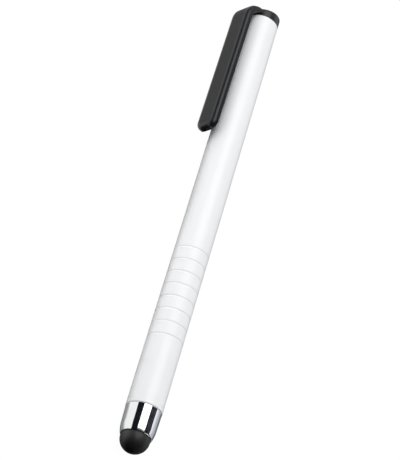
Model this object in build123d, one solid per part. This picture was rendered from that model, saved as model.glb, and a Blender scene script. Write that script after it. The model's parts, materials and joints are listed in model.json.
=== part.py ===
from build123d import *
from math import acos, atan2, cos, degrees, hypot, radians, sin, sqrt, tan
import os

# A stylus pen for touch screens: a lacquered tube with turned grip grooves, a plated nose ring,
# a hollow rubber dome held on a brass post, and a plug with a snapped-in pocket clip.
# Lengths are in millimetres and angles in degrees.
#
# Every piece is made about the pen's own axis: z starts at the barrel's lower end and rises to the cap,
# and x leaves the axis through the middle of the clip. The pen is then laid on its side, tip towards +X,
# resting on the barrel and on the clip's lower edge.

# Barrel, a drawn tube
barrel_radius = 4.5
barrel_length = 119.2
barrel_wall = 0.75
barrel_edge = 0.15
groove_count = 8
groove_pitch = 3.585
groove_width = 0.62
groove_depth = 0.12
lowest_groove = 18.8

# Nose ring, turned, with a spigot that is pressed into the barrel
nose_step = 0.07
nose_top_edge = 0.15
nose_fall = 0.14
nose_taper_length = 2.4
nose_web = 2.8
nose_lip_wall = 0.18
nose_end_edge = 0.06
nose_spigot_length = 8.0
nose_spigot_edge = 0.3

# Rubber tip, a hollow dome with a skirt and a bead that is caught behind the ring's lip
tip_inset = 0.87
tip_reach = 4.2
tip_wall = 0.8
core_edge = 2.0
tip_undercut = 0.03
tip_travel = 0.8
skirt_wall = 0.85
lip_length = 2.0
bead_length = 1.2
bead_catch = 0.2

# Post, a turned pin that keeps the skirt open and carries the charge from the hand to the rubber
post_setback = 0.6
post_nose_edge = 1.2
post_shoulder = 0.08
post_head_inset = 0.45
post_head_length = 1.2
post_head_edge = 0.25

# End cap, a plug with crush ribs and a slanted top
cap_floor = 0.3
cap_land = 0.03
cap_slant = 9.5
cap_edge = 0.8
plug_length = 9.0
plug_wall = 1.1
plug_crown = 1.0
plug_lead = 0.5
rib_count = 6
rib_width = 0.8
rib_height = 0.15
rib_start = 1.5

# Clip, a strip that bends over the top and ends in a tongue with a round bead
clip_width = 6.5
clip_thickness = 2.05
clip_length = 40.95
clip_gap = 1.71
clip_lean = 0.6
clip_corner = 2.4
clip_face_edge = 1.3
clip_back_edge = 0.2
bend_radius = 5.2
tongue_inset = 1.25
tongue_thickness = 0.8
tongue_bead_radius = 0.65
tongue_bead_seat = 2.6
clip_swing = 5.0
bump_radius = 1.3
bump_flat = 0.4
bump_from_end = 4.0

# Clearances
press_gap = 0.02
tip_slide_gap = 0.04
chamber_gap = 0.2
post_gap = 0.1
clip_seat_gap = 0.12
tongue_side_gap = 0.1
tongue_bead_gap = 0.05
bump_gap = 0.49

# Two places nearer to each other than this count as one
same_place = 0.01

bore_radius = barrel_radius - barrel_wall
spigot_radius = bore_radius - press_gap

# The rubber's radii follow from the dome outwards: neck, mouth, bead and chamber
tip_radius = barrel_radius - tip_inset
neck_radius = tip_radius - tip_undercut
mouth_radius = tip_radius + tip_slide_gap
bead_radius = mouth_radius + bead_catch
chamber_radius = bead_radius + tip_slide_gap
chamber_length = bead_length + tip_travel + chamber_gap
hollow_radius = neck_radius - skirt_wall
stem_radius = hollow_radius - post_gap
stud_radius = stem_radius + post_shoulder
nose_bore_radius = stud_radius + press_gap
nose_top_radius = barrel_radius - nose_step
nose_shoulder_radius = nose_top_radius - nose_fall
nose_end_radius = mouth_radius + nose_lip_wall

# Levels along the axis, downwards from the barrel's lower end
nose_end = -(nose_web + chamber_length + lip_length)
lip_top = nose_end + lip_length
chamber_top = lip_top + chamber_length
dome_centre = nose_end - tip_reach + tip_radius
bead_bottom = lip_top + press_gap
bead_top = bead_bottom + bead_length

# The tongue turns in a pocket of the cap, below the rounded rim, and that sets the cap's height
tongue_width = clip_width - 2 * tongue_inset
tongue_rise = cap_floor + tongue_bead_gap + tongue_thickness / 2
swing_room = (barrel_radius - tongue_bead_seat) * sin(radians(clip_swing)) + tongue_bead_gap
slant_drop = barrel_radius * tan(radians(cap_slant))
cap_height = tongue_rise + tongue_thickness / 2 + swing_room + cap_land + cap_edge + slant_drop
clip_reach = barrel_radius + clip_gap + clip_thickness
clip_end = barrel_length - clip_length

# A solid so aligned stands on its base, centred on the axis
upright = (Align.CENTER, Align.CENTER, Align.MIN)


def at(radius, level):
    """A point of a turned profile, given by its distance from the axis and its level."""
    return Vector(radius, 0, level)


def filled(lines):
    """The flat face inside a closed run of lines and arcs."""
    return make_face([edge for line in lines for edge in line.edges()])


def turned(*lines):
    """The solid that a closed profile sweeps out when it turns once about the pen's axis."""
    return revolve(filled(lines), Axis.Z)


def circle_level(radius, width):
    """How far along the axis from a circle's centre its outline is at the given half width."""
    return sqrt(radius**2 - width**2)


def barrel():
    tube = Cylinder(barrel_radius, barrel_length, align=upright)
    tube = chamfer(tube.edges(), barrel_edge)
    tube -= Cylinder(bore_radius, barrel_length, align=upright)
    # The turning tool is pointed, and its sides run on past the surface at the same slope
    tool_width = 2 * groove_width
    tool = turned(
        Polyline(
            at(barrel_radius - groove_depth, 0),
            at(barrel_radius + groove_depth, tool_width / 2),
            at(barrel_radius + groove_depth, -tool_width / 2),
            at(barrel_radius - groove_depth, 0),
        )
    )
    for number in range(groove_count):
        tube -= Pos(0, 0, lowest_groove + number * groove_pitch) * tool
    return tube


def nose_ring():
    shoulder = at(nose_shoulder_radius, nose_end + nose_taper_length)
    sleeve = Line(at(nose_top_radius, -nose_top_edge), shoulder)
    nose_curve = TangentArc(shoulder, at(nose_end_radius, nose_end), tangent=sleeve % 1)
    walls = Polyline(
        at(nose_end_radius, nose_end),
        at(mouth_radius, nose_end),
        at(mouth_radius, lip_top),
        at(chamber_radius, lip_top),
        at(chamber_radius, chamber_top),
        at(nose_bore_radius, chamber_top),
        at(nose_bore_radius, nose_spigot_length),
        at(spigot_radius - nose_spigot_edge, nose_spigot_length),
        at(spigot_radius, nose_spigot_length - nose_spigot_edge),
        at(spigot_radius, 0),
        at(nose_top_radius - nose_top_edge, 0),
        at(nose_top_radius, -nose_top_edge),
    )
    ring = turned(sleeve, nose_curve, walls)
    end_edges = ring.edges().filter_by_position(Axis.Z, nose_end - same_place, nose_end + same_place)
    return chamfer(end_edges, min(nose_end_edge, nose_lip_wall / 3))


def rubber_tip():
    neck_level = dome_centre + circle_level(tip_radius, neck_radius)
    slant = sqrt(0.5)
    apex = at(0, dome_centre - tip_radius)
    dome = ThreePointArc(
        apex,
        at(tip_radius * slant, dome_centre - tip_radius * slant),
        at(neck_radius, neck_level),
    )
    # The hollow is as a plain core leaves it, with a flat end and a chamfer that follows the dome
    core_end = dome_centre - tip_radius + tip_wall
    skirt = Polyline(
        at(neck_radius, neck_level),
        at(neck_radius, bead_bottom),
        at(bead_radius, bead_bottom),
        at(bead_radius, bead_top),
        at(hollow_radius, bead_top),
        at(hollow_radius, core_end + core_edge),
        at(hollow_radius - core_edge, core_end),
        at(0, core_end),
        apex,
    )
    return turned(dome, skirt)


def tip_post():
    head_top = nose_spigot_length + post_head_length
    stem_end = nose_end + post_setback
    post_head_radius = bore_radius - post_head_inset
    profile = Polyline(
        at(0, stem_end),
        at(stem_radius, stem_end),
        at(stem_radius, chamber_top),
        at(stud_radius, chamber_top),
        at(stud_radius, nose_spigot_length),
        at(post_head_radius, nose_spigot_length),
        at(post_head_radius, head_top),
        at(0, head_top),
        at(0, stem_end),
    )
    post = turned(profile)
    post = chamfer(post.edges().group_by(Axis.Z)[0], post_nose_edge)
    return chamfer(post.edges().group_by(Axis.Z)[-1], post_head_edge)


def slanted_head(radius, low_level, top_level, edge):
    """A round head with a slanted, round-edged top, from one level up to another at the axis."""
    # One half is rounded and then mirrored, which keeps the rounded rim in two plain faces
    right = at(radius, low_level)
    left = at(-radius, low_level)
    outline = [ThreePointArc(right, Vector(0, radius, low_level), left), Line(left, right)]
    half = extrude(filled(outline), top_level + radius - low_level, dir=(0, 0, 1))
    top = Plane(origin=(0, 0, top_level), z_dir=(sin(radians(cap_slant)), 0, cos(radians(cap_slant))))
    half = split(half, bisect_by=top, keep=Keep.BOTTOM)
    rim = half.faces().sort_by(Axis.Z)[-1].edges().sort_by(Axis.Y)[-1]
    half = fillet(rim, edge)
    return half + mirror(half, about=Plane.XZ)


def tongue_bar(radius, width):
    """The round bar across the tongue's end, at the line where the clip turns."""
    bar = Rot(90, 0, 0) * Cylinder(radius, width)
    return Pos(tongue_bead_seat, 0, barrel_length + tongue_rise) * bar


def end_cap():
    head = slanted_head(barrel_radius, barrel_length, barrel_length + cap_height, cap_edge)
    plug_radius = spigot_radius - rib_height
    plug_end = barrel_length - plug_length
    plug = Pos(0, 0, plug_end) * Cylinder(plug_radius, plug_length, align=upright)
    plug = chamfer(plug.edges().group_by(Axis.Z)[0], plug_lead)
    rib = Box(spigot_radius, rib_width, plug_length - rib_start, align=(Align.MIN, Align.CENTER, Align.MAX))
    ribs = [Rot(0, 0, (number + 0.5) * 360 / rib_count) * rib for number in range(rib_count)]
    rib_round = Cylinder(spigot_radius, plug_length, align=(Align.CENTER, Align.CENTER, Align.MAX))
    plug += Pos(0, 0, barrel_length) * (rib_round & (Part() + ribs))
    hollow = Cylinder(plug_radius - plug_wall, plug_length - plug_crown, align=upright)
    plug -= Pos(0, 0, plug_end) * hollow
    # The tongue's pocket is open to the side, with room above the tongue for the clip's swing
    pocket = Box(
        barrel_radius,
        tongue_width + 2 * tongue_side_gap,
        tongue_thickness + tongue_bead_gap + swing_room,
        align=(Align.MIN, Align.CENTER, Align.MIN),
    )
    pocket = Pos(tongue_bead_seat, 0, barrel_length + cap_floor) * pocket
    pocket += tongue_bar(tongue_bead_radius + tongue_bead_gap, tongue_width + 2 * tongue_side_gap)
    return head + plug - pocket


# The clip's side outline: a straight face, a round bend and a slanted top, with their outward directions
face_out = Vector(cos(radians(clip_lean)), 0, sin(radians(clip_lean)))
top_out = Vector(sin(radians(cap_slant)), 0, cos(radians(cap_slant)))
face_offset = Vector(clip_reach, 0, barrel_length).dot(face_out)
top_offset = Vector(0, 0, barrel_length + cap_height).dot(top_out)


def crossing(first_offset, second_offset):
    """The point of the side outline at the given offsets along the face's and the top's directions."""
    turn = face_out.X * top_out.Z - face_out.Z * top_out.X
    across = (first_offset * top_out.Z - second_offset * face_out.Z) / turn
    level = (second_offset * face_out.X - first_offset * top_out.X) / turn
    return Vector(across, 0, level)


bend_centre = crossing(face_offset - bend_radius, top_offset - bend_radius)
bend_middle = (face_out + top_out).normalized()
face_down = Vector(face_out.Z, 0, -face_out.X)
top_inward = Vector(-top_out.Z, 0, top_out.X)


def clip_strip():
    inner_radius = bend_radius - clip_thickness
    outer_low = bend_centre + face_out * bend_radius
    inner_low = bend_centre + face_out * inner_radius
    outer_top = bend_centre + top_out * bend_radius
    inner_top = bend_centre + top_out * inner_radius
    face_run = face_down * (outer_low.Z - clip_end)
    arm_run = top_inward * barrel_radius
    outline = [
        Line(outer_low + face_run, outer_low),
        ThreePointArc(outer_low, bend_centre + bend_middle * bend_radius, outer_top),
        Polyline(outer_top, outer_top + arm_run, inner_top + arm_run, inner_top),
        ThreePointArc(inner_top, bend_centre + bend_middle * inner_radius, inner_low),
        Polyline(inner_low, inner_low + face_run, outer_low + face_run),
    ]
    strip = extrude(filled(outline), clip_width / 2, dir=(0, 1, 0), both=True)
    side_edges = strip.edges().filter_by(lambda edge: abs(edge.center().Y) > same_place)
    strip = fillet(side_edges.group_by(Axis.Z)[0], clip_corner)
    strip = fillet(rim_edges(strip, 0), clip_face_edge)
    return chamfer(rim_edges(strip, clip_thickness), clip_back_edge)


def rim_edges(strip, depth):
    """The edges round one skin of the strip, at the given depth under the outer skin."""
    rim = []
    for edge in strip.edges():
        middle = edge @ 0.5
        from_centre = middle - Vector(bend_centre.X, middle.Y, bend_centre.Z)
        if from_centre.dot(face_down) > 0:
            under = face_offset - middle.dot(face_out)
        elif from_centre.dot(top_inward) > 0:
            under = top_offset - middle.dot(top_out)
        else:
            under = bend_radius - from_centre.length
        at_side = abs(middle.Y) > same_place
        at_low_end = middle.Z < clip_end + clip_corner
        if abs(under - depth) < same_place and (at_side or at_low_end):
            rim.append(edge)
    return rim


def grip_bump():
    """The low cone on the back of the clip that presses a pocket's edge against the barrel."""
    level = clip_end + bump_from_end
    strip_middle = (face_offset - clip_thickness / 2 - level * face_out.Z) / face_out.X
    bump = Cylinder(bump_radius, strip_middle - barrel_radius - bump_gap, align=upright)
    bump = chamfer(bump.edges().group_by(Axis.Z)[-1], bump_radius - bump_flat)
    return Plane(origin=(strip_middle, 0, level), z_dir=-face_out).location * bump


def clip():
    # The arm stops short of the cap and of the barrel's rim by the same seam all round
    seat = slanted_head(
        barrel_radius + clip_seat_gap,
        barrel_length - bend_radius,
        barrel_length + cap_height + clip_seat_gap,
        cap_edge + clip_seat_gap,
    )
    strip = clip_strip() - seat
    tongue = Box(
        clip_reach - clip_thickness - tongue_bead_seat,
        tongue_width,
        tongue_thickness,
        align=(Align.MIN, Align.CENTER, Align.CENTER),
    )
    tongue = Pos(tongue_bead_seat, 0, barrel_length + tongue_rise) * tongue
    return strip + tongue + tongue_bar(tongue_bead_radius, tongue_width) + grip_bump()


# The pen rolls until the clip's lower outer edge meets the table, which sets how far the clip points up
edge_level = clip_end + clip_corner
edge_out = clip_reach + (barrel_length - edge_level) * face_out.Z / face_out.X - clip_face_edge
edge_side = clip_width / 2 - clip_face_edge
edge_turn = degrees(acos((barrel_radius - clip_face_edge) / hypot(edge_out, edge_side)))
clip_from_down = edge_turn + degrees(atan2(edge_side, edge_out))
clip_way = (0, -sin(radians(clip_from_down)), -cos(radians(clip_from_down)))

pieces = {
    "barrel": barrel(),
    "nose_ring": nose_ring(),
    "rubber_tip": rubber_tip(),
    "tip_post": tip_post(),
    "end_cap": end_cap(),
    "clip": clip(),
}

lying = Plane(origin=(0, 0, 0), x_dir=clip_way, z_dir=(-1, 0, 0))
laid = {name: lying.location * piece for name, piece in pieces.items()}
box = Compound(list(laid.values())).bounding_box()
to_origin = Pos(-box.center().X, -box.center().Y, -box.min.Z)

os.makedirs("parts", exist_ok=True)
for name, piece in laid.items():
    export_step(to_origin * piece, f"parts/{name}.step")
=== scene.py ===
import json
from math import atan2, cos, pi, radians, sin

import bpy
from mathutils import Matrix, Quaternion, Vector


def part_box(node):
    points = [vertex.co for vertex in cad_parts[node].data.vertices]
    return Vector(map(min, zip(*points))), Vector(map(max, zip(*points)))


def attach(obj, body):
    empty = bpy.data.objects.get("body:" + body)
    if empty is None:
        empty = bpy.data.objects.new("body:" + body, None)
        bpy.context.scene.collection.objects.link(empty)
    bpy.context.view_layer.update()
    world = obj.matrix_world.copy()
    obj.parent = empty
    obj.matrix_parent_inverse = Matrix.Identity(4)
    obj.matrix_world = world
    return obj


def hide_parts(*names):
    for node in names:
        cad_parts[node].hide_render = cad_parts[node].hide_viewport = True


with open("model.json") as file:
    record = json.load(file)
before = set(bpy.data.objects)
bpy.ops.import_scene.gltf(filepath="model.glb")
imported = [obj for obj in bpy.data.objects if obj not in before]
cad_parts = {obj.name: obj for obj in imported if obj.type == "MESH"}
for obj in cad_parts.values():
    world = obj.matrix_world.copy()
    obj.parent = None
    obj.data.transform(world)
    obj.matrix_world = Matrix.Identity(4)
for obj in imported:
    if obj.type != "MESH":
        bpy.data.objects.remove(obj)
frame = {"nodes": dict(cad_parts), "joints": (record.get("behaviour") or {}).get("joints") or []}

# A stylus pen for touch screens, lying on a white table in soft studio light.
# The pieces come in the order in which the pen is put together, then the table, the lights and the camera.
bpy.context.view_layer.update()
nodes = frame["nodes"]
mm = 0.001


# Barrel: a drawn aluminium tube with eight turned grip grooves, sprayed with white gloss lacquer.
# The lacquer pulls nearly smooth. Shade is painted into the grooves, whose bottoms are mixed a little
# towards grey.
def linear(hex_colour):
    """A colour that is written as sRGB hex, as the linear values that the shaders take."""
    shares = [int(hex_colour[place : place + 2], 16) / 255 for place in (0, 2, 4)]
    return [s / 12.92 if s <= 0.04045 else ((s + 0.055) / 1.055) ** 2.4 for s in shares] + [1.0]


def add(tree, kind, inputs=None, **settings):
    """Adds a node with its settings; an input is a value, or the node or socket that feeds it."""
    made = tree.nodes.new(kind)
    for name, value in settings.items():
        setattr(made, name, value)
    for name, value in (inputs or {}).items():
        if isinstance(value, bpy.types.Node):
            value = next(socket for socket in value.outputs if socket.enabled)
        if isinstance(value, bpy.types.NodeSocket):
            tree.links.new(value, made.inputs[name])
        else:
            made.inputs[name].default_value = value
    return made


def new_material(name):
    """An empty material: its node tree, and the object's own coordinates in metres."""
    material = bpy.data.materials.new(name)
    material.use_nodes = True
    material.node_tree.nodes.clear()
    place = add(material.node_tree, "ShaderNodeTexCoord").outputs["Object"]
    return material, material.node_tree, place


# The pen's axis runs along X through the middle of the barrel
barrel_low, barrel_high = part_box("barrel")
axis = (barrel_low + barrel_high) / 2
barrel_radius = (barrel_high.z - barrel_low.z) / 2
groove_depth = 0.12 * mm

# White gloss lacquer: a neutral white, with soft clouds of tint and an orange peel about 0.9 mm wide.
lacquer_grey = linear("F0F0F0")
lacquer_white = linear("F5F5F5")
# Painted shade: the grey that the bottoms of the grip grooves are mixed towards.
groove_painted_shade = linear("D8D8D8")
groove_shade_share = 0.1
lacquer_gloss = 0.28
lacquer_dull = 0.36
lacquer_ior = 1.46
cloud_width = 12 * mm
peel_width = 0.9 * mm
peel_height = 0.002 * mm
lacquer, tree, place = new_material("white_gloss_lacquer")
cloud = add(tree, "ShaderNodeTexNoise", {"Vector": place, "Scale": 1 / cloud_width, "Detail": 3})
tint = add(
    tree,
    "ShaderNodeMix",
    {"Factor": cloud, "A": lacquer_grey, "B": lacquer_white},
    data_type="RGBA",
)
from_axis = add(tree, "ShaderNodeVectorMath", {0: place, 1: axis}, operation="SUBTRACT")
outward = add(tree, "ShaderNodeVectorMath", {0: from_axis, 1: (0, 1, 1)}, operation="MULTIPLY")
radius = add(tree, "ShaderNodeVectorMath", {0: outward}, operation="LENGTH")
# Painted shade in the grooves: the grey's share grows towards each groove's bottom.
groove_painted_shade_mask = add(
    tree,
    "ShaderNodeMapRange",
    {
        "Value": radius.outputs["Value"],
        "From Min": barrel_radius - groove_depth,
        "From Max": barrel_radius - groove_depth / 4,
        "To Min": groove_shade_share,
        "To Max": 0.0,
    },
)
colour = add(
    tree,
    "ShaderNodeMix",
    {"Factor": groove_painted_shade_mask, "A": tint.outputs["Result"], "B": groove_painted_shade},
    data_type="RGBA",
)
peel = add(tree, "ShaderNodeTexNoise", {"Vector": place, "Scale": 1 / peel_width, "Detail": 2})
shine = add(tree, "ShaderNodeMapRange", {"Value": cloud, "To Min": lacquer_gloss, "To Max": lacquer_dull})
dimple = add(tree, "ShaderNodeBump", {"Height": peel, "Distance": peel_height})
surface = add(
    tree,
    "ShaderNodeBsdfPrincipled",
    {"Base Color": colour.outputs["Result"], "Roughness": shine, "Normal": dimple, "IOR": lacquer_ior},
)
add(tree, "ShaderNodeOutputMaterial", {"Surface": surface})
nodes["barrel"].material_slots[0].material = lacquer


# Post: a turned brass pin inside the nose ring, pressed in from behind before the ring goes into the tube.
# Only its feed lines and a dull tarnish would show if the pen were taken apart.
# Turned brass: warm yellow metal with fine rings from the lathe, one feed line every 0.12 mm.
brass_brown = linear("B08D4A")
brass_yellow = linear("D3AE66")
brass_gloss = 0.24
brass_dull = 0.38
tarnish_width = 1.5 * mm
feed = 0.12 * mm
feed_height = 0.002 * mm
# The wave texture turns through 20 radians in one unit of its scale
wave_turn = 20
brass, tree, place = new_material("turned_brass")
rings = add(
    tree,
    "ShaderNodeTexWave",
    {"Vector": place, "Scale": 2 * pi / (wave_turn * feed), "Distortion": 0.4, "Detail": 1},
    bands_direction="X",
)
tarnish = add(tree, "ShaderNodeTexNoise", {"Vector": place, "Scale": 1 / tarnish_width, "Detail": 4})
colour = add(
    tree,
    "ShaderNodeMix",
    {"Factor": tarnish, "A": brass_brown, "B": brass_yellow},
    data_type="RGBA",
)
shine = add(tree, "ShaderNodeMapRange", {"Value": tarnish, "To Min": brass_dull, "To Max": brass_gloss})
cut = add(tree, "ShaderNodeBump", {"Height": rings.outputs["Fac"], "Distance": feed_height})
surface = add(
    tree,
    "ShaderNodeBsdfPrincipled",
    {"Base Color": colour.outputs["Result"], "Metallic": 1.0, "Roughness": shine, "Normal": cut},
)
add(tree, "ShaderNodeOutputMaterial", {"Surface": surface})
nodes["tip_post"].material_slots[0].material = brass


# Nose ring: a turned brass ring, polished and chromed, whose spigot is pressed into the tube.
# Polishing leaves it a little wavy, so the edges of what it mirrors wander slightly.
# Chrome plating: a neutral mirror, with faint wiped streaks along the pen that change its gloss.
chrome_grey = linear("EAEBED")
chrome_white = linear("F4F4F5")
chrome_gloss = 0.03
chrome_dull = 0.08
wave_width = 2.2 * mm
wave_height = 0.004 * mm
streak_width = 0.5 * mm
streak_squeeze = 0.2
chrome, tree, place = new_material("chrome_plating")
wave = add(tree, "ShaderNodeTexNoise", {"Vector": place, "Scale": 1 / wave_width, "Detail": 1})
along = add(tree, "ShaderNodeMapping", {"Vector": place, "Scale": (streak_squeeze, 1, 1)})
streak = add(tree, "ShaderNodeTexNoise", {"Vector": along, "Scale": 1 / streak_width, "Detail": 3})
colour = add(
    tree,
    "ShaderNodeMix",
    {"Factor": streak, "A": chrome_grey, "B": chrome_white},
    data_type="RGBA",
)
shine = add(tree, "ShaderNodeMapRange", {"Value": streak, "To Min": chrome_gloss, "To Max": chrome_dull})
ripple = add(tree, "ShaderNodeBump", {"Height": wave, "Distance": wave_height})
surface = add(
    tree,
    "ShaderNodeBsdfPrincipled",
    {"Base Color": colour.outputs["Result"], "Metallic": 1.0, "Roughness": shine, "Normal": ripple},
)
add(tree, "ShaderNodeOutputMaterial", {"Surface": surface})
nodes["nose_ring"].material_slots[0].material = chrome


# Rubber tip: a hollow dome moulded in conductive silicone, with a straight neck and a bead behind it.
# It is stretched over the post and snaps behind the ring's lip.
# Here a globe is cut at its neck, and its open rim is drawn out backwards and then into the hollow.
tip_low, tip_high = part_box("rubber_tip")
dome_radius = 3.63 * mm
neck_radius = 3.6 * mm
bead_radius = (tip_high.z - tip_low.z) / 2
bead_length = 1.2 * mm
hollow_radius = 2.75 * mm
core_radius = 0.75 * mm
tip_wall = 0.8 * mm
core_edge = 2 * mm
dome_segments = 128
dome_rings = 64
smooth_below = radians(35)
dome_middle = Vector((tip_high.x - dome_radius, axis.y, axis.z))
neck_x = dome_middle.x - (dome_radius**2 - neck_radius**2) ** 0.5
core_x = tip_high.x - tip_wall
bpy.ops.object.select_all(action="DESELECT")
bpy.ops.mesh.primitive_uv_sphere_add(
    segments=dome_segments,
    ring_count=dome_rings,
    radius=dome_radius,
    location=dome_middle,
    rotation=(0, pi / 2, 0),
)
dome = bpy.context.object
dome.name = "rubber_dome"
bpy.ops.object.transform_apply(location=True, rotation=True, scale=True)
bpy.ops.object.mode_set(mode="EDIT")
bpy.ops.mesh.select_all(action="SELECT")
bpy.ops.mesh.bisect(plane_co=(neck_x, 0, 0), plane_no=(-1, 0, 0), clear_outer=True)
bpy.ops.mesh.select_mode(type="EDGE")
bpy.ops.mesh.select_all(action="DESELECT")
bpy.ops.mesh.select_non_manifold()
# Each step draws the open rim on to a new place along the axis and a new radius
rim_x = neck_x
rim_radius = neck_radius
for next_x, next_radius in (
    (tip_low.x + bead_length, neck_radius),
    (tip_low.x + bead_length, bead_radius),
    (tip_low.x, bead_radius),
    (tip_low.x, hollow_radius),
    (core_x - core_edge, hollow_radius),
    (core_x, core_radius),
):
    bpy.ops.mesh.extrude_region_move(TRANSFORM_OT_translate={"value": (next_x - rim_x, 0, 0)})
    spread = next_radius / rim_radius
    bpy.ops.transform.resize(value=(1, spread, spread), center_override=(next_x, axis.y, axis.z))
    rim_x = next_x
    rim_radius = next_radius
bpy.ops.mesh.edge_face_add()
bpy.ops.mesh.select_all(action="SELECT")
bpy.ops.mesh.normals_make_consistent(inside=False)
bpy.ops.object.mode_set(mode="OBJECT")
bpy.ops.object.shade_smooth_by_angle(angle=smooth_below)

# Conductive silicone rubber: nearly black from its carbon filler, with a satin skin, a moulded grain
# and specks of dust. The grain is really about 0.05 mm wide; it is drawn coarser so that it shows.
# The index is above plain silicone's 1.4, because the filler makes the skin shinier.
rubber_black = linear("0E0E10")
dust_grey = linear("1D1D1F")
dust_from = 0.62
dust_full = 0.75
rubber_gloss = 0.48
rubber_dull = 0.6
rubber_ior = 1.75
grain_width = 0.25 * mm
grain_height = 0.01 * mm
grain_strength = 0.6
speck_width = 0.4 * mm
rubber, tree, place = new_material("conductive_silicone_rubber")
grain = add(tree, "ShaderNodeTexNoise", {"Vector": place, "Scale": 1 / grain_width, "Detail": 4})
speck = add(tree, "ShaderNodeTexNoise", {"Vector": place, "Scale": 1 / speck_width, "Detail": 2})
dusty = add(tree, "ShaderNodeMapRange", {"Value": speck, "From Min": dust_from, "From Max": dust_full})
colour = add(
    tree,
    "ShaderNodeMix",
    {"Factor": dusty, "A": rubber_black, "B": dust_grey},
    data_type="RGBA",
)
shine = add(tree, "ShaderNodeMapRange", {"Value": grain, "To Min": rubber_gloss, "To Max": rubber_dull})
dimple = add(tree, "ShaderNodeBump", {"Height": grain, "Distance": grain_height, "Strength": grain_strength})
surface = add(
    tree,
    "ShaderNodeBsdfPrincipled",
    {"Base Color": colour.outputs["Result"], "Roughness": shine, "Normal": dimple, "IOR": rubber_ior},
)
add(tree, "ShaderNodeOutputMaterial", {"Surface": surface})
dome.data.materials.append(rubber)
nodes["rubber_tip"].material_slots[0].material = rubber
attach(dome, "soft_tip")
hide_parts("rubber_tip")


# End cap: a plug moulded in black ABS with a slanted top, pushed into the tube on its crush ribs.
# The mould was polished, so the cap is glossy, with a slight sink over the thick places.
# Gloss black ABS: a deep black with a soft reflection, blurred here and there by handling.
cap_black = linear("18181A")
cap_grey = linear("202022")
cap_gloss = 0.2
cap_dull = 0.34
abs_ior = 1.5
smudge_width = 3 * mm
sink_width = 4 * mm
sink_depth = 0.01 * mm
black, tree, place = new_material("gloss_black_abs")
smudge = add(tree, "ShaderNodeTexNoise", {"Vector": place, "Scale": 1 / smudge_width, "Detail": 5})
sink = add(tree, "ShaderNodeTexNoise", {"Vector": place, "Scale": 1 / sink_width})
colour = add(
    tree,
    "ShaderNodeMix",
    {"Factor": smudge, "A": cap_black, "B": cap_grey},
    data_type="RGBA",
)
shine = add(tree, "ShaderNodeMapRange", {"Value": smudge, "To Min": cap_gloss, "To Max": cap_dull})
ripple = add(tree, "ShaderNodeBump", {"Height": sink, "Distance": sink_depth})
surface = add(
    tree,
    "ShaderNodeBsdfPrincipled",
    {"Base Color": colour.outputs["Result"], "Roughness": shine, "Normal": ripple, "IOR": abs_ior},
)
add(tree, "ShaderNodeOutputMaterial", {"Surface": surface})
nodes["end_cap"].material_slots[0].material = black


# Clip: a strip of black ABS that bends over the top and snaps into the cap with a tongue.
# The mould's face was spark-eroded, which leaves it matt, while the rounded rails and the end are polished.
# The strip's outline seen on its face is a rectangle with round corners, and the rails begin inside it.
clip_width = 6.5 * mm
clip_corner = 2.4 * mm
rail_round = 1.3 * mm
clip_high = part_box("clip")[1]
clip_hinge = next(joint for joint in frame["joints"] if joint["name"] == "clip_flex")

# Spark-textured black ABS: a dull dark grey with a fine grit about 0.18 mm wide, and a gloss black rim.
grit_grey = linear("1F1F1F")
grit_pale = linear("2F2F2F")
rim_black = linear("15161A")
face_dull = 0.75
rim_gloss = 0.3
grit_width = 0.18 * mm
grit_height = 0.02 * mm
face_grit = 0.5
rim_grit = 0.02
corner_x = clip_high.x - clip_corner
rail_reach = clip_corner - rail_round
gloss_from = rail_reach - 0.05 * mm
gloss_full = rail_reach + 0.15 * mm
skin, tree, place = new_material("spark_textured_black_abs")
from_axis = add(tree, "ShaderNodeVectorMath", {0: place, 1: axis}, operation="SUBTRACT")
across = add(tree, "ShaderNodeVectorMath", {0: from_axis, 1: clip_hinge["axis"]}, operation="DOT_PRODUCT")
aside = add(tree, "ShaderNodeMath", {0: across.outputs["Value"]}, operation="ABSOLUTE")
past_side = add(tree, "ShaderNodeMath", {0: aside, 1: clip_width / 2 - clip_corner}, operation="SUBTRACT")
split = add(tree, "ShaderNodeSeparateXYZ", {"Vector": place})
past_end = add(tree, "ShaderNodeMath", {0: split.outputs["X"], 1: corner_x}, operation="SUBTRACT")
past_corner = add(tree, "ShaderNodeCombineXYZ", {"X": past_side, "Y": past_end})
outside = add(tree, "ShaderNodeVectorMath", {0: past_corner, 1: (0, 0, 0)}, operation="MAXIMUM")
reach = add(tree, "ShaderNodeVectorMath", {0: outside}, operation="LENGTH")
gloss = add(
    tree,
    "ShaderNodeMapRange",
    {"Value": reach.outputs["Value"], "From Min": gloss_from, "From Max": gloss_full},
    interpolation_type="SMOOTHSTEP",
)
grit = add(tree, "ShaderNodeTexNoise", {"Vector": place, "Scale": 1 / grit_width, "Detail": 3})
matt_colour = add(
    tree,
    "ShaderNodeMix",
    {"Factor": grit, "A": grit_grey, "B": grit_pale},
    data_type="RGBA",
)
colour = add(
    tree,
    "ShaderNodeMix",
    {"Factor": gloss, "A": matt_colour.outputs["Result"], "B": rim_black},
    data_type="RGBA",
)
shine = add(tree, "ShaderNodeMapRange", {"Value": gloss, "To Min": face_dull, "To Max": rim_gloss})
roughened = add(tree, "ShaderNodeMapRange", {"Value": gloss, "To Min": face_grit, "To Max": rim_grit})
dimple = add(tree, "ShaderNodeBump", {"Height": grit, "Distance": grit_height, "Strength": roughened})
surface = add(
    tree,
    "ShaderNodeBsdfPrincipled",
    {"Base Color": colour.outputs["Result"], "Roughness": shine, "Normal": dimple, "IOR": abs_ior},
)
add(tree, "ShaderNodeOutputMaterial", {"Surface": surface})
nodes["clip"].material_slots[0].material = skin
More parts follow.
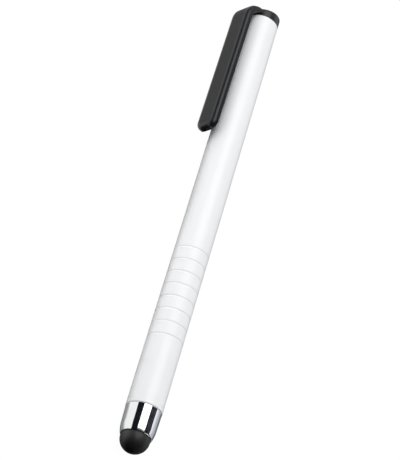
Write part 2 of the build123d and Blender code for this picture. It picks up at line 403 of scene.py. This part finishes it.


# Table: a large sheet of white paper that keeps a faint shadow of the pen. The camera sees it plain white.
# For reflections and for the light that it throws back, a shadow is painted grey on it under the pen,
# and it is painted black from the end of the tip on, as if a black cloth lay there.
white = linear("FFFFFF")
paper_white = linear("F3F3F1")
# Painted shadow: the grey that all but camera rays see on the paper under the pen.
paper_painted_shadow = linear("AEAEAC")
# Painted dark reflection: the near-black that all but camera rays see on the paper from the end of the tip
# on.
painted_dark_front = linear("08080A")
table_size = 4
shown_white = 0.92
mirrored_white = 0.75
paper_level = 1.05
painted_shadow_from = 4.6 * mm
painted_shadow_to = 7.0 * mm
painted_dark_from = tip_high.x
painted_dark_to = painted_dark_from + 2 * mm
bpy.ops.object.select_all(action="DESELECT")
bpy.ops.mesh.primitive_plane_add(size=table_size, location=(0, 0, 0))
table = bpy.context.object
table.name = "table"
paper, tree, place = new_material("white_sweep_paper")
path = add(tree, "ShaderNodeLightPath")
seen = path.outputs["Is Camera Ray"]
split = add(tree, "ShaderNodeSeparateXYZ", {"Vector": place})
beside = add(tree, "ShaderNodeMath", {0: split.outputs["Y"], 1: axis.y}, operation="SUBTRACT")
away = add(tree, "ShaderNodeMath", {0: beside}, operation="ABSOLUTE")
# Mask of the painted shadow: 0 under the pen, rising to 1 away from it.
outside_painted_shadow = add(
    tree,
    "ShaderNodeMapRange",
    {"Value": away, "From Min": painted_shadow_from, "From Max": painted_shadow_to},
    interpolation_type="SMOOTHSTEP",
)
# Mask of the painted black: 1 behind the tip's end, falling to 0 just ahead of it.
clear_of_painted_dark = add(
    tree,
    "ShaderNodeMapRange",
    {
        "Value": split.outputs["X"],
        "From Min": painted_dark_from,
        "From Max": painted_dark_to,
        "To Min": 1.0,
        "To Max": 0.0,
    },
)
mirror = add(
    tree,
    "ShaderNodeMath",
    {0: path.outputs["Is Glossy Ray"], 1: path.outputs["Is Transmission Ray"]},
    operation="MAXIMUM",
)
clear_of_painted_marks = add(tree, "ShaderNodeMath", {0: outside_painted_shadow, 1: clear_of_painted_dark}, operation="MULTIPLY")
raised = add(tree, "ShaderNodeMath", {0: mirror, 1: mirrored_white}, operation="MULTIPLY")
mirrored = add(tree, "ShaderNodeMath", {0: raised, 1: clear_of_painted_marks}, operation="MULTIPLY")
shown = add(tree, "ShaderNodeMath", {0: seen, 1: shown_white}, operation="MULTIPLY")
share = add(tree, "ShaderNodeMath", {0: shown, 1: mirrored}, operation="MAXIMUM")
painted_shadow_off = add(tree, "ShaderNodeMath", {0: outside_painted_shadow, 1: seen}, operation="MAXIMUM")
painted_dark_off = add(tree, "ShaderNodeMath", {0: clear_of_painted_dark, 1: seen}, operation="MAXIMUM")
# The painted shadow and the painted black are mixed into the paper's colour for all but camera rays.
painted_shadow_colour = add(
    tree,
    "ShaderNodeMix",
    {"Factor": painted_shadow_off, "A": paper_painted_shadow, "B": paper_white},
    data_type="RGBA",
)
colour = add(
    tree,
    "ShaderNodeMix",
    {"Factor": painted_dark_off, "A": painted_dark_front, "B": painted_shadow_colour.outputs["Result"]},
    data_type="RGBA",
)
matt = add(tree, "ShaderNodeBsdfDiffuse", {"Color": colour.outputs["Result"]})
bright = add(tree, "ShaderNodeEmission", {"Color": white, "Strength": paper_level})
mixed = add(tree, "ShaderNodeMixShader", {0: share, 1: matt, 2: bright})
add(tree, "ShaderNodeOutputMaterial", {"Surface": mixed})
table.data.materials.append(paper)


# Light tent: white cloth behind and over the pen, dark in front of the tip and behind the cap,
# and dim and bluish low on the far side, where the dark front also begins further forward.
# The camera sees plain white, and mirrors see the cloth as white as paper.
tent_level = 1.05
# Limits are parts of a direction of length 1: X ahead of the tip, Y towards the far side
front_fade = 0.16
front_light = 0.03
drawn_back_from = 0.5
drawn_back_most = 0.5
end_full = -0.9
end_from = -0.6
end_light = 0.35
far_from = 0.6
far_full = 0.86
far_light = 0.6
far_blue = linear("B4C0D6")
world = bpy.data.worlds.new("light_tent")
bpy.context.scene.world = world
world.use_nodes = True
tree = world.node_tree
tree.nodes.clear()
way = add(tree, "ShaderNodeTexCoord").outputs["Generated"]
split = add(tree, "ShaderNodeSeparateXYZ", {"Vector": way})
path = add(tree, "ShaderNodeLightPath")
mirror = add(
    tree,
    "ShaderNodeMath",
    {0: path.outputs["Is Glossy Ray"], 1: path.outputs["Is Transmission Ray"]},
    operation="MAXIMUM",
)
level = add(tree, "ShaderNodeMapRange", {"Value": mirror, "To Min": tent_level, "To Max": 1.0})
front_edge = add(
    tree,
    "ShaderNodeMapRange",
    {"Value": split.outputs["Y"], "From Min": drawn_back_from, "To Max": drawn_back_most},
)
ahead = add(tree, "ShaderNodeMath", {0: split.outputs["X"], 1: front_edge}, operation="SUBTRACT")
not_front = add(
    tree,
    "ShaderNodeMapRange",
    {"Value": ahead, "From Max": front_fade, "To Min": 1.0, "To Max": front_light},
    interpolation_type="SMOOTHSTEP",
)
not_end = add(
    tree,
    "ShaderNodeMapRange",
    {"Value": split.outputs["X"], "From Min": end_full, "From Max": end_from, "To Min": end_light},
)
not_far = add(
    tree,
    "ShaderNodeMapRange",
    {
        "Value": split.outputs["Y"],
        "From Min": far_from,
        "From Max": far_full,
        "To Min": 1.0,
        "To Max": far_light,
    },
)
for part in (not_front, not_end, not_far):
    level = add(tree, "ShaderNodeMath", {0: level, 1: part}, operation="MULTIPLY")
tone = add(tree, "ShaderNodeMix", {"Factor": not_far, "A": far_blue, "B": white}, data_type="RGBA")
tent = add(tree, "ShaderNodeBackground", {"Color": tone.outputs["Result"], "Strength": level})
plain = add(tree, "ShaderNodeBackground", {"Color": white, "Strength": 1.0})
sky = add(tree, "ShaderNodeMixShader", {0: path.outputs["Is Camera Ray"], 1: tent, 2: plain})
add(tree, "ShaderNodeOutputWorld", {"Surface": sky})


# Flags: cards of dark cloth along the pen, which draw the dark stripes on the chrome and the clip's rail.
# They show in reflections alone and take no light away.
def round_axis(angle):
    """The way out from the pen's axis; 0 is level on the camera's side, and the angle goes over the top."""
    return Vector((0, -cos(radians(angle)), sin(radians(angle))))


def flag(name, near_edge, far_edge, low_x, high_x, colour):
    """A card between two long edges, each given by its angle round the pen's axis and its distance."""
    middle_line = Vector((0, axis.y, axis.z))
    near, far = (middle_line + round_axis(angle) * distance for angle, distance in (near_edge, far_edge))
    middle = (near + far) / 2 + Vector(((low_x + high_x) / 2, 0, 0))
    width = far - near
    bpy.ops.object.select_all(action="DESELECT")
    bpy.ops.mesh.primitive_plane_add(size=1, location=middle, rotation=(atan2(width.z, width.y), 0, 0))
    made = bpy.context.object
    made.name = name
    made.scale = (high_x - low_x, width.length, 1)
    made.visible_camera = False
    made.visible_diffuse = False
    made.visible_shadow = False
    cloth, tree, place = new_material(name + "_cloth")
    dark = add(tree, "ShaderNodeBsdfDiffuse", {"Color": linear(colour)})
    add(tree, "ShaderNodeOutputMaterial", {"Surface": dark})
    made.data.materials.append(cloth)


black_cloth = "1B1B21"
navy_cloth = "44474F"
grey_cloth = "72787F"
outer_edge = 300 * mm
flags_from = -300 * mm
flags_to = 120 * mm
flag("low_flag", (-0.5, 30 * mm), (35.5, outer_edge), flags_from, flags_to, black_cloth)
flag("high_flag", (82.5, outer_edge), (124.5, outer_edge), flags_from, flags_to, navy_cloth)
flag("far_flag", (170, outer_edge), (200, 12 * mm), flags_from, flags_to, grey_cloth)
# The last flag lies low and close in front of the clip's end, which mirrors it
flag("end_flag", (-52, 5.6 * mm), (-18, 14.2 * mm), -21.8 * mm, 0, black_cloth)


# Softbox: the bright stripe between the flags. Key and fill: large lamps that light without a reflection,
# the key from the camera's side and the fill from low on the far side.
# Front lamp: a lamp ahead of the tip that only the ring mirrors, so that its far side isn't all black.
def lamp(name, width, height, level, angle, distance, middle_x, colour):
    """A flat lamp that faces the pen's axis; its level is its face's brightness, where white paper is 1."""
    light = bpy.data.lights.new(name, "AREA")
    light.shape = "RECTANGLE"
    light.size = width
    light.size_y = height
    light.energy = level * pi * width * height
    light.color = linear(colour)[:3]
    made = bpy.data.objects.new(name, light)
    bpy.context.scene.collection.objects.link(made)
    made.location = Vector((middle_x, axis.y, axis.z)) + round_axis(angle) * distance
    made.rotation_mode = "QUATERNION"
    made.rotation_quaternion = round_axis(angle).to_track_quat("Z", "Y")
    made.visible_camera = False
    return made


plain_light = "FFFFFF"
cool_light = "EEF2FB"
lamp(
    "softbox",
    width=0.55,
    height=0.33,
    level=1.0,
    angle=59,
    distance=0.35,
    middle_x=-0.185,
    colour=plain_light,
)
key = lamp(
    "key",
    width=0.7,
    height=0.5,
    level=1.12,
    angle=51,
    distance=0.6,
    middle_x=-0.06,
    colour=cool_light,
)
key.visible_glossy = False
fill = lamp(
    "fill",
    width=0.7,
    height=0.22,
    level=1.3,
    angle=164,
    distance=0.6,
    middle_x=-0.08,
    colour=cool_light,
)
fill.visible_glossy = False
front = lamp(
    "front_lamp",
    width=0.4,
    height=0.26,
    level=0.75,
    angle=144,
    distance=0.3,
    middle_x=0.5,
    colour=plain_light,
)
mirrors = bpy.data.collections.new("front_lamp_mirrors")
mirrors.objects.link(nodes["nose_ring"])
front.light_linking.receiver_collection = mirrors


# Camera: above the tip on the clip's side, rolled so that the tip points down in the picture.
camera_azimuth = radians(39.113)
camera_elevation = radians(34.105)
camera_roll = radians(82.426)
camera_distance = 439.872 * mm
camera_lens = 138.03
aim = Vector((3.706 * mm, axis.y + 0.441 * mm, axis.z))
level_back = Vector((sin(camera_azimuth), -cos(camera_azimuth), 0))
back = level_back * cos(camera_elevation) + Vector((0, 0, sin(camera_elevation)))
camera = bpy.data.objects.new("camera", bpy.data.cameras.new("camera"))
bpy.context.scene.collection.objects.link(camera)
camera.data.lens = camera_lens
camera.location = aim + back * camera_distance
camera.rotation_mode = "QUATERNION"
upright = (-back).to_track_quat("-Z", "Y")
camera.rotation_quaternion = upright @ Quaternion((0, 0, 1), camera_roll)
camera.data.clip_start = 0.01
camera.data.clip_end = 20
bpy.context.scene.camera = camera
bpy.context.scene.view_settings.view_transform = "Standard"
